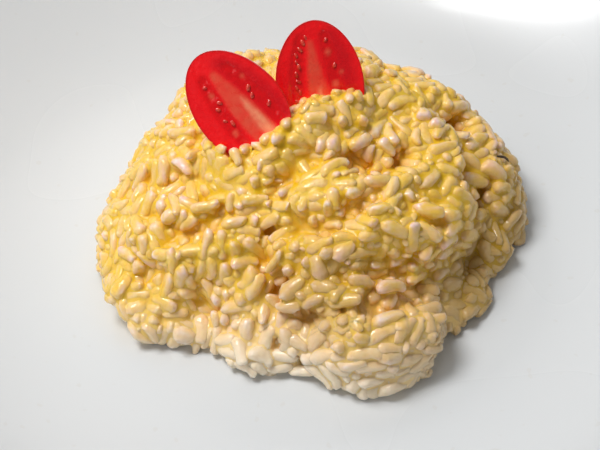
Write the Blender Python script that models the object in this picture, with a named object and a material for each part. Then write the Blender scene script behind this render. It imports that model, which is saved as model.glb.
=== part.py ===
"""A plate of cheese risotto: a round mound of rice in a wide shallow porcelain bowl, with two halves of a
cherry tomato pushed into its top.

The frame has +Z up and its origin at the centre of the bowl's foot. The side that the eater sees is -Y.
Sizes are named in millimetres and are turned into metres where a mesh is made.
"""

import math

import bmesh
import bpy
from mathutils import Matrix, Vector, noise

MM = 0.001
GAP = 0.3                     # air left between two pieces that touch

# The bowl. Its inner wall leaves the flat floor with no crease and steepens up to the rim.
MOUTH_RADIUS = 128.0          # of the rim's inner edge
MOUTH_HEIGHT = 43.5           # of that edge above the table
FLOOR_RADIUS = 63.0
FLOOR_HEIGHT = 8.0            # top of the floor above the table
WALL_THICKNESS = 4.4
WALL_CURVE = 1.9              # power of the wall's rise: 1 is a straight cone
FOOT_RADIUS = 56.0
FOOT_WIDTH = 5.0
FOOT_HEIGHT = 3.6
BOWL_SEGMENTS = 72
WALL_STEPS = 9
RIM_STEPS = 4

# The mound of rice.
MOUND_RADIUS = 54.5
MOUND_HEIGHT = 41.0
MOUND_FULLNESS = 2.05         # 2 is an ellipse; more gives steeper sides and a flatter top
MOUND_LEAN = 6.0              # how far the summit lies behind the middle
MOUND_SEGMENTS = 84
MOUND_RINGS = 20
GRAIN_SWELL = 1.1             # height of the smallest unevenness kept on the solid
GRAIN_SWELL_SPAN = 11.0       # and its spacing

# Outline lobes and notches: (direction in degrees from +X, half width in degrees, reach in millimetres).
OUTLINE_LOBES = (
    (3, 9, 4.0),
    (-25, 8, -6.5),
    (-48, 5, -4.5),
    (-67, 11, 1.5),
    (-96, 7, -6.5),
    (-122, 12, -10.0),
    (-164, 11, 3.5),
    (22, 8, 3.0),
    (62, 20, -3.0),
    (120, 14, 2.5),
    (150, 12, -3.5),
    (177, 6, 2.0),
)

# Folds pressed into the mound by the spoon and ridges between them, as lines over the plan:
# (points (x, y), half width, height; a negative height is a furrow).
FOLDS = (
    (((14, -34), (25, -34), (36, -30), (45, -20)), 3.6, -6.0),
    (((16, -24), (28, -22), (37, -15)), 6.0, 2.6),
    (((12, -47), (24, -47), (33, -42)), 5.0, 2.0),
    (((-13, -22), (-14, -34), (-13, -44)), 3.0, -3.2),
    (((-46, -2), (-36, -8), (-28, -10)), 3.0, -4.2),
    (((-48, 9), (-40, 6)), 3.2, -3.0),
    (((-3, 6), (10, 3), (22, 6)), 3.6, -3.6),
    (((-12, 9), (-2, 16), (14, 22)), 4.2, 3.0),
    (((-8, -8), (6, 0), (20, 12)), 4.0, 2.0),
    (((36, 12), (42, 9)), 2.8, -3.2),
    (((41, 0), (48, -9)), 3.0, -3.4),
    (((-30, -32), (-24, -40)), 3.0, -2.6),
    (((-36, -24), (-30, -20)), 4.5, 1.8),
    (((2, 3), (13, 6)), 3.0, 3.0),
    (((-15, -9), (-9, -7)), 3.0, -1.6),
    (((-27, 20), (-17, 28)), 5.0, 3.2),
    (((-33, 27), (-18, 38), (-3, 42)), 3.0, -2.8),
    (((12, 46), (27, 41), (38, 33)), 3.0, -2.6),
    (((3, 31), (14, 33)), 4.0, 1.8),
    (((28, 26), (38, 18)), 4.5, 1.4),
)

# A half of a cherry tomato, cut from end to end.
TOMATO_LENGTH = 30.0
TOMATO_WIDTH = 21.7
TOMATO_TAPER = 0.08           # how much wider the stem half is than the blossom half
TOMATO_STEPS = 16             # along its length
TOMATO_TURNS = 14             # round its half turn

# Where each half stands: the centre of its cut face, how far the face leans back from upright, how far it
# turns about its own length, and how far it tips to the left, in degrees.
TOMATOES = {
    "tomato_half_right": {"centre": (3.5, 10.5, 53.2), "lean": 30.0, "turn": 2.0, "tip": 5.0},
    "tomato_half_left": {"centre": (-16.7, 1.8, 54.5), "lean": 34.0, "turn": -6.0, "tip": 38.0},
}


def clear_scene():
    for old in list(bpy.data.objects):
        bpy.data.objects.remove(old)


def material(name, colour, roughness, metallic=0.0):
    made = bpy.data.materials.new(name)
    made.use_nodes = True
    shader = made.node_tree.nodes["Principled BSDF"]
    shader.inputs["Base Color"].default_value = (*colour, 1.0)
    shader.inputs["Roughness"].default_value = roughness
    shader.inputs["Metallic"].default_value = metallic
    return made


def object_from(bm, name, finish, smooth_angle=None):
    """One named object holding the bmesh, with its finish; smooth_angle in degrees keeps sharper edges crisp."""
    bmesh.ops.recalc_face_normals(bm, faces=bm.faces)
    bmesh.ops.triangulate(bm, faces=bm.faces)
    mesh = bpy.data.meshes.new(name)
    bm.to_mesh(mesh)
    bm.free()
    mesh.materials.append(finish)
    if smooth_angle is not None:
        mesh.shade_smooth()
        mesh.set_sharp_from_angle(angle=math.radians(smooth_angle))
    made = bpy.data.objects.new(name, mesh)
    bpy.context.scene.collection.objects.link(made)
    return made


def turned(points, segments, angle=2 * math.pi):
    """A bmesh turned about Z from a profile of (radius, height) in millimetres."""
    bm = bmesh.new()
    line = [bm.verts.new((radius * MM, 0.0, height * MM)) for radius, height in points]
    for lower, upper in zip(line, line[1:]):
        bm.edges.new((lower, upper))
    whole = math.isclose(angle, 2 * math.pi)
    bmesh.ops.spin(
        bm,
        geom=bm.verts[:] + bm.edges[:],
        cent=(0, 0, 0),
        axis=(0, 0, 1),
        angle=angle,
        steps=segments,
        use_merge=whole,
    )
    bmesh.ops.remove_doubles(bm, verts=bm.verts, dist=0.01 * MM)
    return bm


def wall_rise(radius):
    """Height of the bowl's inner surface above its floor, at a distance from the middle."""
    share = max(0.0, (radius - FLOOR_RADIUS) / (MOUTH_RADIUS - FLOOR_RADIUS))
    return (MOUTH_HEIGHT - FLOOR_HEIGHT) * share**WALL_CURVE


def wall_slope(radius):
    """Angle of that surface above level, in radians."""
    step = 0.01
    return math.atan2(wall_rise(radius) - wall_rise(radius - step), step)


def bowl_profile():
    """(radius, height) round the bowl's section, from the middle of the floor over the rim to under the foot."""
    half = WALL_THICKNESS / 2
    inner = [(0.0, FLOOR_HEIGHT), (FLOOR_RADIUS * 0.5, FLOOR_HEIGHT)]
    outer = []
    for step in range(WALL_STEPS + 1):
        radius = FLOOR_RADIUS + (MOUTH_RADIUS - FLOOR_RADIUS) * step / WALL_STEPS
        height = FLOOR_HEIGHT + wall_rise(radius)
        slope = wall_slope(radius)
        inner.append((radius, height))
        outer.append((radius + WALL_THICKNESS * math.sin(slope), height - WALL_THICKNESS * math.cos(slope)))
    rim = []
    slope = wall_slope(MOUTH_RADIUS)
    middle = ((inner[-1][0] + outer[-1][0]) / 2, (inner[-1][1] + outer[-1][1]) / 2)
    for step in range(1, RIM_STEPS):
        turn = math.pi / 2 + slope - math.pi * step / RIM_STEPS
        rim.append((middle[0] + half * math.cos(turn), middle[1] + half * math.sin(turn)))
    foot_inner = FOOT_RADIUS - FOOT_WIDTH
    foot = [
        (FOOT_RADIUS + 1.0, FOOT_HEIGHT),
        (FOOT_RADIUS, 0.8),
        (FOOT_RADIUS - 0.8, 0.0),
        (foot_inner + 0.8, 0.0),
        (foot_inner, 0.8),
        (foot_inner - 1.0, FOOT_HEIGHT),
        (0.0, FOOT_HEIGHT),
    ]
    return inner + rim + outer[::-1] + foot


def make_bowl():
    glaze = material("porcelain", (0.86, 0.87, 0.86), 0.18)
    return object_from(turned(bowl_profile(), BOWL_SEGMENTS), "bowl", glaze, 35)


def outline_radius(direction):
    """Reach of the mound's foot in a direction, in radians from +X."""
    reach = MOUND_RADIUS
    for centre, width, height in OUTLINE_LOBES:
        away = (math.degrees(direction) - centre + 180) % 360 - 180
        reach += height * math.exp(-0.5 * (away / width) ** 2)
    return reach


def distance_to_line(point, line):
    """Distance in plan from a point to a chain of points."""
    nearest = math.inf
    for start, end in zip(line, line[1:]):
        a, b = Vector(start), Vector(end)
        along = max(0.0, min(1.0, (point - a).dot(b - a) / (b - a).length_squared))
        nearest = min(nearest, (point - a.lerp(b, along)).length)
    return nearest


def fold_height(x, y):
    """Height of the folds and ridges over a place in plan."""
    place = Vector((x, y))
    total = 0.0
    for line, width, height in FOLDS:
        total += height * math.exp(-0.5 * (distance_to_line(place, line) / width) ** 2)
    return total


def mound_point(direction, rise):
    """A point of the mound's skin: rise runs from 0 at the summit to a quarter turn at the foot."""
    power = 2 / MOUND_FULLNESS
    reach = outline_radius(direction) * math.sin(rise) ** power
    height = MOUND_HEIGHT * max(0.0, math.cos(rise)) ** power
    x = reach * math.cos(direction)
    y = reach * math.sin(direction) + MOUND_LEAN * height / MOUND_HEIGHT
    swell = noise.noise(Vector((x, y, height)) / GRAIN_SWELL_SPAN) * GRAIN_SWELL
    relief = fold_height(x, y) + swell
    outward = Vector((math.cos(direction) * math.sin(rise), math.sin(direction) * math.sin(rise), math.cos(rise)))
    upper = min(1.0, height / (0.25 * MOUND_HEIGHT))
    point = Vector((x, y, height)) + outward * relief * upper
    return Vector((point.x, point.y, max(0.0, point.z)))


def mound_mesh():
    """A turned quarter circle whose rings are then moved out to the mound's skin, closed by a flat base."""
    arc = [
        (math.sin(math.pi / 2 * ring / MOUND_RINGS), math.cos(math.pi / 2 * ring / MOUND_RINGS))
        for ring in range(MOUND_RINGS + 1)
    ]
    bm = turned(arc, MOUND_SEGMENTS)
    base = FLOOR_HEIGHT + GAP
    for vert in bm.verts:
        direction = math.atan2(vert.co.y, vert.co.x)
        rise = math.acos(max(-1.0, min(1.0, vert.co.z / MM)))
        vert.co = (mound_point(direction, rise) + Vector((0, 0, base))) * MM
    rim = [edge for edge in bm.edges if edge.is_boundary]
    bmesh.ops.contextual_create(bm, geom=rim)
    return bm


def tomato_mesh(extra=0.0):
    """Half of an egg, cut along its length: the cut face looks along -Y, and its blossom end is up.
    extra swells it on every side, in millimetres."""
    profile = []
    for step in range(TOMATO_STEPS + 1):
        turn = math.pi * step / TOMATO_STEPS
        radius = (TOMATO_WIDTH / 2 + extra) * math.sin(turn) * (1 - TOMATO_TAPER * math.cos(turn))
        height = (TOMATO_LENGTH / 2 + extra) * math.cos(turn)
        profile.append((max(0.0, radius), height))
    bm = turned(profile, TOMATO_TURNS, math.pi)
    rim = [edge for edge in bm.edges if edge.is_boundary]
    bmesh.ops.contextual_create(bm, geom=rim)
    if extra:
        for vert in bm.verts:
            if abs(vert.co.y) < 0.01 * MM:
                vert.co.y -= extra * MM
    return bm


def tomato_place(stand):
    """The matrix that stands a half where its entry in TOMATOES says."""
    tip = Matrix.Rotation(-math.radians(stand["tip"]), 4, "Y")
    turn = Matrix.Rotation(math.radians(stand["turn"]), 4, "Z")
    lean = Matrix.Rotation(-math.radians(stand["lean"]), 4, "X")
    return Matrix.Translation(Vector(stand["centre"]) * MM) @ lean @ turn @ tip


def make_tomatoes():
    skin = material("tomato", (0.75, 0.02, 0.02), 0.2)
    for name, stand in TOMATOES.items():
        half = object_from(tomato_mesh(), name, skin, 40)
        half.matrix_world = tomato_place(stand)


def make_mound():
    """The rice, with a pocket pressed into it by each tomato half."""
    rice = material("risotto", (0.93, 0.66, 0.24), 0.4)
    mound = object_from(mound_mesh(), "risotto_mound", rice, 60)
    for name, stand in TOMATOES.items():
        cutter = object_from(tomato_mesh(GAP), "pocket_" + name, rice)
        cutter.matrix_world = tomato_place(stand)
        cutter.hide_render = True
        cutter.display_type = "WIRE"
        cut = mound.modifiers.new("pocket", "BOOLEAN")
        cut.operation = "DIFFERENCE"
        cut.solver = "EXACT"
        cut.object = cutter
    return mound


clear_scene()
make_bowl()
make_mound()
make_tomatoes()
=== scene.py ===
# %% [markdown]
# # A serving of cheese risotto
#
# The real thing is a ladle of short-grain rice, stirred until its starch and the melted cheese have made
# a thick yellow sauce, tipped into a wide shallow bowl. Two halves of a small tomato stand in its top.
#
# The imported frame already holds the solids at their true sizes. This script keeps every size and gives
# each solid its real surface: it casts the bowl again with a smooth turn, fills the mound's outline with
# grains of rice, pours the sauce between them, and cuts the tomato halves open.

# %% Load the frame
import math
import time

import bmesh
import bpy
import numpy as np
from mathutils import Matrix, Vector, noise
from mathutils.bvhtree import BVHTree
from mathutils.kdtree import KDTree


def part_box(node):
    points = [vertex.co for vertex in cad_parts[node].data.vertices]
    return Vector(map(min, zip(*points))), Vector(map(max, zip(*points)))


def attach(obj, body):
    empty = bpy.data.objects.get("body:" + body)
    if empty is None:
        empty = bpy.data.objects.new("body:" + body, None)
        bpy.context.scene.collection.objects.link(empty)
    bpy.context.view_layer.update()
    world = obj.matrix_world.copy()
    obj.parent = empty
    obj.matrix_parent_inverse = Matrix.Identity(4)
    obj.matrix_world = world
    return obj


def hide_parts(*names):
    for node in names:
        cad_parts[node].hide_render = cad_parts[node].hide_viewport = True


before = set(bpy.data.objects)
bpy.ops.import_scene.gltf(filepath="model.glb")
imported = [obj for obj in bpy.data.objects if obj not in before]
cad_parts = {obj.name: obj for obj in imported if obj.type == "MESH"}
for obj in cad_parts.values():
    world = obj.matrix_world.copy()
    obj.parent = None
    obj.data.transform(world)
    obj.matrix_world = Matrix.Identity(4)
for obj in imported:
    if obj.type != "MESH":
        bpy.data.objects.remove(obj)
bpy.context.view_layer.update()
MM = 0.001
started = time.time()
print("nodes:", sorted(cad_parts))

# %% [markdown]
# ## The camera
#
# The photograph looks down on the bowl at about fifty degrees. A camera can be placed by eye, but then
# every change moves it. Here it is worked out from what the photograph shows: where the middle of the
# picture falls on the food, how far away the lens was, and how many millimetres of food one pixel covers
# there.

# %% Place the camera
IMAGE_WIDTH = 600
TARGET = Vector((-2.9, -13.4, 27.0)) * MM
CAMERA_DISTANCE = 286 * MM
CAMERA_ELEVATION = math.radians(50)
CAMERA_ROLL = math.radians(2.6)
PIXEL_AT_TARGET = 0.25 * MM
SENSOR_WIDTH = 36.0

camera_data = bpy.data.cameras.new("camera")
camera = bpy.data.objects.new("camera", camera_data)
bpy.context.scene.collection.objects.link(camera)
backwards = Vector((0, -math.cos(CAMERA_ELEVATION), math.sin(CAMERA_ELEVATION)))
aim = (-backwards).to_track_quat("-Z", "Y").to_matrix().to_4x4()
stand = Matrix.Translation(TARGET + backwards * CAMERA_DISTANCE)
camera.matrix_world = stand @ aim @ Matrix.Rotation(-CAMERA_ROLL, 4, "Z")
camera_data.sensor_width = SENSOR_WIDTH
camera_data.lens = SENSOR_WIDTH * CAMERA_DISTANCE / (PIXEL_AT_TARGET * IMAGE_WIDTH)
camera_data.clip_start = 0.01
bpy.context.scene.camera = camera
print(f"camera lens {camera_data.lens:.1f} mm")

# %% [markdown]
# ## Helpers
#
# Every piece ends the same way: a bmesh becomes an object at the origin, gets its finish, rides on the
# food's one body, and hides the CAD node that it stands for. Doing that in one function keeps the cells
# below about shape.

# %% Turn a bmesh into a finished piece
def piece(bm_or_mesh, name, finishes, replaces):
    """Makes an object of a bmesh or a mesh, smooth shaded, that rides on the root body."""
    if isinstance(bm_or_mesh, bmesh.types.BMesh):
        mesh = bpy.data.meshes.new(name)
        bm_or_mesh.to_mesh(mesh)
        bm_or_mesh.free()
    else:
        mesh = bm_or_mesh
        mesh.name = name
    for finish in finishes:
        mesh.materials.append(finish)
    mesh.shade_smooth()
    made = bpy.data.objects.new(name, mesh)
    bpy.context.scene.collection.objects.link(made)
    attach(made, "root")
    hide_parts(replaces)
    print(f"{name}: {len(mesh.polygons)} faces, {time.time() - started:.1f} s")


# %% [markdown]
# ## Materials
#
# A Principled BSDF alone gives one flat colour, which no food has. The tree that feeds it is built here
# from small calls: each makes one node, sets its values and wires it, so that a material below reads like
# a recipe.

# %% Make nodes with few words
class Recipe:
    """A node tree under construction."""

    def __init__(self, tree):
        self.tree = tree

    def node(self, kind, inputs=None, **settings):
        """Adds a node. Inputs are values, or output sockets to wire in."""
        made = self.tree.nodes.new(kind)
        for name, value in settings.items():
            setattr(made, name, value)
        for name, value in (inputs or {}).items():
            socket = made.inputs[name]
            if isinstance(value, bpy.types.NodeSocket):
                self.tree.links.new(value, socket)
            else:
                socket.default_value = value
        return made

    def attribute(self, name):
        return self.node("ShaderNodeAttribute", attribute_name=name).outputs["Fac"]

    def place(self):
        return self.node("ShaderNodeTexCoord").outputs["Object"]

    def noise(self, place, scale, detail=2.0):
        made = self.node("ShaderNodeTexNoise", {"Vector": place, "Scale": scale, "Detail": detail})
        return made.outputs["Fac"]

    def math(self, operation, a, b, clamp=False):
        made = self.node("ShaderNodeMath", {0: a, 1: b}, operation=operation, use_clamp=clamp)
        return made.outputs[0]

    def fit(self, value, low, high, to_low=0.0, to_high=1.0):
        """The value mapped from one range to another and held inside it."""
        made = self.node(
            "ShaderNodeMapRange",
            {"Value": value, "From Min": low, "From Max": high, "To Min": to_low, "To Max": to_high},
        )
        return made.outputs["Result"]

    def blend(self, factor, a, b):
        """Colour a where the factor is 0 and b where it is 1."""
        made = self.node("ShaderNodeMix", data_type="RGBA")
        for socket, value in ((made.inputs[0], factor), (made.inputs[6], a), (made.inputs[7], b)):
            if isinstance(value, bpy.types.NodeSocket):
                self.tree.links.new(value, socket)
            elif isinstance(value, tuple):
                socket.default_value = (*value, 1.0)
            else:
                socket.default_value = value
        return made.outputs[2]

    def bump(self, height, distance, strength):
        made = self.node("ShaderNodeBump", {"Height": height, "Distance": distance, "Strength": strength})
        return made.outputs["Normal"]

    def use(self, tree, **inputs):
        """A node group with its own values. Gives its outputs by name."""
        return dict(self.node("ShaderNodeGroup", inputs, node_tree=tree).outputs.items())


def group(name, inputs, outputs, build):
    """A node group: build(recipe, given) returns what each named output gives."""
    tree = bpy.data.node_groups.new(name, "ShaderNodeTree")
    for label, kind in inputs.items():
        tree.interface.new_socket(label, in_out="INPUT", socket_type=kind)
    for label, kind in outputs.items():
        tree.interface.new_socket(label, in_out="OUTPUT", socket_type=kind)
    recipe = Recipe(tree)
    given = recipe.node("NodeGroupInput").outputs
    taken = recipe.node("NodeGroupOutput").inputs
    for label, value in build(recipe, given).items():
        tree.links.new(value, taken[label])
    return tree


def finish(name, cook, **values):
    """A material: cook(recipe) returns what is wired into the shader, and values are its plain settings."""
    made = bpy.data.materials.new(name)
    made.use_nodes = True
    recipe = Recipe(made.node_tree)
    shader = made.node_tree.nodes["Principled BSDF"]
    for socket, value in values.items():
        shader.inputs[socket.replace("_", " ")].default_value = value
    for socket, value in cook(recipe).items():
        made.node_tree.links.new(value, shader.inputs[socket.replace("_", " ")])
    return made


# %% [markdown]
# ## A wet surface
#
# Rice, sauce and cut tomato are all wet: a film of water and fat lies on them, thinner in some places
# than in others, over a surface that is never quite even. Each could have its own noise textures, but it
# is one effect, so it is one node group. A material gives it a scale and a depth, and gets back a
# roughness and a normal.

# %% Make the wet surface group
def wet(recipe, given):
    fine = recipe.noise(given["Place"], given["Scale"])
    broad = recipe.noise(given["Place"], recipe.math("MULTIPLY", given["Scale"], 0.38), 1.0)
    patches = recipe.noise(given["Place"], recipe.math("MULTIPLY", given["Scale"], 0.5))
    return {
        "Roughness": recipe.fit(patches, 0.3, 0.7, given["Smoothest"], given["Roughest"]),
        "Normal": recipe.bump(recipe.math("ADD", fine, broad), given["Depth"], 0.6),
    }


VALUE = "NodeSocketFloat"
wet_surface = group(
    "wet_surface",
    {"Place": "NodeSocketVector", "Scale": VALUE, "Depth": VALUE, "Smoothest": VALUE, "Roughest": VALUE},
    {"Roughness": VALUE, "Normal": "NodeSocketVector"},
    wet,
)
print("wet_surface has", len(wet_surface.nodes), "nodes")

# %% [markdown]
# ## The bowl
#
# A wide shallow porcelain bowl, thrown or pressed on a wheel and dipped in clear glaze, apart from the
# ring that it stands on in the kiln. Anything made on a wheel is a profile turned about an axis, so one
# open line and a spin make it. The profile is worked out from a few driving sizes, with the same values
# as the solid.

# %% Turn the bowl
FLOOR_HEIGHT = 8.0
FLOOR_RADIUS = 63.0
MOUTH_RADIUS = 128.0
MOUTH_HEIGHT = 43.5
WALL_THICKNESS = 4.4
WALL_CURVE = 1.9
FOOT_RADIUS = 56.0
FOOT_WIDTH = 5.0
FOOT_HEIGHT = 3.6
# the foot ring's rounded edge: how far it is outside the ring's side, and how high
FOOT_EDGE = ((1.0, FOOT_HEIGHT), (0.2, 1.4), (-0.2, 0.4), (-0.8, 0.0))
WALL_STEPS = 28
RIM_STEPS = 10
BOWL_SEGMENTS = 144


def wall_point(radius):
    """The inner wall at a radius, and its slope."""
    share = max(0.0, (radius - FLOOR_RADIUS) / (MOUTH_RADIUS - FLOOR_RADIUS))
    rise = MOUTH_HEIGHT - FLOOR_HEIGHT
    slope = math.atan(rise * WALL_CURVE * share ** (WALL_CURVE - 1) / (MOUTH_RADIUS - FLOOR_RADIUS))
    return FLOOR_HEIGHT + rise * share**WALL_CURVE, slope


def bowl_profile():
    """(radius, height) from the middle of the floor, up and over the rim, and down to under the foot."""
    inner = [(r, FLOOR_HEIGHT) for r in (0.0, 20.0, 40.0, 54.0)]
    outer = []
    for step in range(WALL_STEPS + 1):
        radius = FLOOR_RADIUS + (MOUTH_RADIUS - FLOOR_RADIUS) * step / WALL_STEPS
        height, slope = wall_point(radius)
        inner.append((radius, height))
        outer.append((radius + WALL_THICKNESS * math.sin(slope), height - WALL_THICKNESS * math.cos(slope)))
    middle = [(a + b) / 2 for a, b in zip(inner[-1], outer[-1])]
    rim = []
    for step in range(1, RIM_STEPS):
        turn = math.pi / 2 + slope - math.pi * step / RIM_STEPS
        around = (math.cos(turn), math.sin(turn))
        rim.append(tuple(m + WALL_THICKNESS / 2 * a for m, a in zip(middle, around)))
    foot = [(FOOT_RADIUS + out, height) for out, height in FOOT_EDGE]
    foot += [(FOOT_RADIUS - FOOT_WIDTH - out, height) for out, height in FOOT_EDGE[::-1]]
    return inner + rim + outer[::-1] + foot + [(0.0, FOOT_HEIGHT)]


def turned(profile, segments):
    """A closed skin turned about Z from a line of (radius, height) in millimetres."""
    bm = bmesh.new()
    line = [bm.verts.new((r * MM, 0, z * MM)) for r, z in profile]
    for lower, upper in zip(line, line[1:]):
        bm.edges.new((lower, upper))
    bmesh.ops.spin(
        bm, geom=bm.verts[:] + bm.edges[:], axis=(0, 0, 1), angle=2 * math.pi, steps=segments, use_merge=True
    )
    bmesh.ops.remove_doubles(bm, verts=bm.verts, dist=0.005 * MM)
    bmesh.ops.recalc_face_normals(bm, faces=bm.faces)
    return bm


# %% [markdown]
# ## Glaze and biscuit
#
# Glaze is glass over white clay. It isn't an even white: it pools a little, carries a few specks, and has
# a faint orange peel that bends reflections. The ring that the bowl stands on in the kiln is wiped bare
# and stays dull. One material does both, with the height above the table as the mask, so that the border
# follows the shape.

# %% Glaze the bowl
def porcelain(recipe):
    place = recipe.place()
    broad = recipe.noise(place, 14.0, 1.0)
    fine = recipe.noise(place, 900.0, 2.0)
    height = recipe.node("ShaderNodeSeparateXYZ", {0: place}).outputs["Z"]
    bare = recipe.fit(height, 1.5 * MM, 0.9 * MM)
    glaze = recipe.blend(recipe.fit(broad, 0.1, 0.9), (0.67, 0.69, 0.702), (0.72, 0.738, 0.748))
    speck = recipe.fit(recipe.noise(place, 420.0, 0.0), 0.78, 0.84)
    glaze = recipe.blend(recipe.math("MULTIPLY", speck, 0.25), glaze, (0.62, 0.6, 0.56))
    biscuit = recipe.blend(fine, (0.66, 0.62, 0.55), (0.78, 0.75, 0.69))
    orange_peel = recipe.noise(place, 160.0, 1.0)
    grit = recipe.math("MULTIPLY", bare, fine)
    relief = recipe.math("ADD", recipe.math("MULTIPLY", orange_peel, 0.6), grit)
    glaze_roughness = recipe.fit(broad, 0.1, 0.9, 0.2, 0.32)
    return {
        "Base Color": recipe.blend(bare, glaze, biscuit),
        "Roughness": recipe.math("ADD", glaze_roughness, recipe.math("MULTIPLY", bare, 0.5)),
        "Normal": recipe.bump(relief, 0.05 * MM, 0.4),
    }


bowl_finish = finish("glazed_porcelain", porcelain, IOR=1.45, Coat_Weight=0.25, Coat_Roughness=0.1)
piece(turned(bowl_profile(), BOWL_SEGMENTS), "bowl_porcelain", [bowl_finish], "bowl")

# %% [markdown]
# ## The mound's skin
#
# Everything in the heap is placed by its depth under the mound's outline. The CAD solid is that outline,
# but it has a pocket for each tomato half, and the rice should close round them. So a copy loses the
# pockets' walls and has the holes filled. It goes into a BVH tree, which finds the nearest point of a
# surface fast.

# %% Fill the pockets and measure depth
def tree_of(mesh):
    faces = [tuple(p.vertices) for p in mesh.polygons]
    return BVHTree.FromPolygons([v.co.copy() for v in mesh.vertices], faces)


POCKET_REACH = 0.5 * MM
tomato_trees = {side: tree_of(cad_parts["tomato_half_" + side].data) for side in ("right", "left")}
mound_low, mound_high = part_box("risotto_mound")

outline = bmesh.new()
outline.from_mesh(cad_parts["risotto_mound"].data)
bmesh.ops.remove_doubles(outline, verts=outline.verts, dist=0.01 * MM)
walls = [
    face
    for face in outline.faces
    if min(tree.find_nearest(face.calc_center_median())[3] for tree in tomato_trees.values()) < POCKET_REACH
]
bmesh.ops.delete(outline, geom=walls, context="FACES")
pinched = True
while pinched:
    pinched = [v for v in outline.verts if sum(edge.is_boundary for edge in v.link_edges) > 2]
    around = {face for vert in pinched for face in vert.link_faces}
    bmesh.ops.delete(outline, geom=list(around), context="FACES")
open_edges = [edge for edge in outline.edges if edge.is_boundary]
bmesh.ops.triangle_fill(outline, use_beauty=True, edges=open_edges)
bmesh.ops.recalc_face_normals(outline, faces=outline.faces)
outline_mesh = bpy.data.meshes.new("outline")
outline.to_mesh(outline_mesh)
print(f"outline: {len(walls)} pocket faces out, volume {outline.calc_volume() / MM**3 / 1000:.0f} cubic cm,")
print(f"open edges left: {sum(edge.is_boundary for edge in outline.edges)}")
outline.free()
outline_tree = tree_of(outline_mesh)

# %% [markdown]
# ## From the photograph to the heap
#
# Furrows and single grains are read off the photograph, in pixels, but they are needed on the heap, in
# millimetres. They could be guessed in millimetres and corrected after every render. The camera gives
# them at once: a line of sight leaves it through each pixel, and the place is where that line first meets
# the solids.

# %% Cast lines of sight
IMAGE_HEIGHT = 450
LENS_PIXELS = CAMERA_DISTANCE / PIXEL_AT_TARGET
eye = camera.matrix_world.translation


def sight(x, y):
    """The line of sight through a pixel of the photograph, as long as it has to be to go one metre deep."""
    way = Vector((x - IMAGE_WIDTH / 2, IMAGE_HEIGHT / 2 - y, -LENS_PIXELS)) / LENS_PIXELS
    return camera.matrix_world.to_3x3() @ way


def seen(x, y, trees):
    """What a pixel shows of some surfaces: the place, its normal and the way that the camera looks at it."""
    look = sight(x, y).normalized()
    hits = [hit for hit in (tree.ray_cast(eye, look) for tree in trees) if hit[0]]
    place, normal, _, _ = min(hits, key=lambda hit: hit[3])
    return place, normal, look


middle_shown = seen(IMAGE_WIDTH / 2, IMAGE_HEIGHT / 2, [outline_tree])[0] / MM
print("the middle of the photograph shows", [round(value, 1) for value in middle_shown], "mm")

# %% [markdown]
# ## Furrows
#
# Spoonfuls of rice don't settle evenly: furrows are left between them, and they are what the eye reads
# first. Sculpting them by hand would be lost with the next change of the solid. Here each furrow is a
# line of points with a width and a depth, and a swelling is a furrow with less than no depth. The rest of
# the heap has small dips from noise. The outline is remeshed into even squares, and each of its points
# moves in or out by that much: this is the heap's real skin, which everything below lies under.

# %% Lay out the furrows
# width and depth in millimetres, then a line of points in pixels of the photograph
FURROWS = (
    (3.2, 4.5, ((165, 233), (185, 233), (200, 226))),
    (2.3, 3.0, ((200, 226), (222, 212))),
    (2.5, 3.5, ((140, 208), (150, 214))),
    (2.5, 2.5, ((202, 193), (222, 194))),
    (2.7, 4.0, ((272, 232), (300, 225), (335, 224), (352, 212), (380, 193))),
    (2.3, 3.5, ((268, 238), (262, 258))),
    (2.3, 3.0, ((285, 256), (297, 262))),
    (2.7, 4.5, ((268, 275), (270, 308))),
    (2.3, 3.0, ((270, 315), (300, 320))),
    (2.7, 3.5, ((140, 277), (152, 276))),
    (3.6, 4.4, ((362, 296), (380, 302), (408, 297), (420, 292))),
    (1.6, 2.6, ((420, 292), (428, 288))),
    (2.3, 3.0, ((378, 272), (412, 273))),
    (2.5, 4.0, ((443, 218), (450, 224))),
    (2.3, 3.0, ((428, 193), (446, 195))),
    (2.7, 4.0, ((355, 155), (392, 160), (412, 150))),
    (2.8, 4.0, ((458, 122), (464, 118))),
    (2.5, 3.5, ((272, 186), (290, 163), (312, 160))),
    (2.7, 2.5, ((345, 275), (350, 290))),
    (2.1, 2.5, ((300, 318), (345, 312))),
    # swellings of the foot
    (4.0, -3.4, ((120, 292), (142, 316), (172, 334), (203, 338), (232, 348), (255, 364))),
    (4.0, -3.2, ((497, 250), (480, 270), (478, 298))),
    # the brow of rice in front of the tomato halves, which stands higher
    (4.2, -3.0, ((268, 160), (284, 140), (300, 122), (322, 114), (345, 109))),
    (3.4, -1.6, ((345, 109), (366, 107))),
    (3.0, -2.2, ((215, 150), (235, 160), (255, 166), (268, 160))),
)
# the same for the back, which the photograph doesn't show, with its points in millimetres
BACK_FURROWS = (
    (2.8, 4.0, ((24.0, 34.0, 33.0), (12.0, 40.0, 32.0), (4.0, 37.0, 36.0))),
    (2.5, 3.5, ((-20.0, 32.0, 37.0), (-27.0, 37.0, 29.0), (-36.0, 33.0, 22.0))),
    (2.7, 4.0, ((40.0, 28.0, 22.0), (46.0, 18.0, 20.0))),
)
FURROW_WIDER = 1.0
FURROW_STRENGTH = 0.95
FURROW_REACH = 1.3
DIP_SPAN = 6.5
DIP_DEPTH = 1.3
FOOT_FADE = 6.0
SKIN_VOXEL = 1.1
SKIN_SMOOTHING = 4

furrows = [
    (width, deep, [seen(*pixel, [outline_tree])[0] for pixel in line])
    for width, deep, line in FURROWS
]
furrows += [
    (width, deep, [Vector(point) * MM for point in line])
    for width, deep, line in BACK_FURROWS
]


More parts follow.
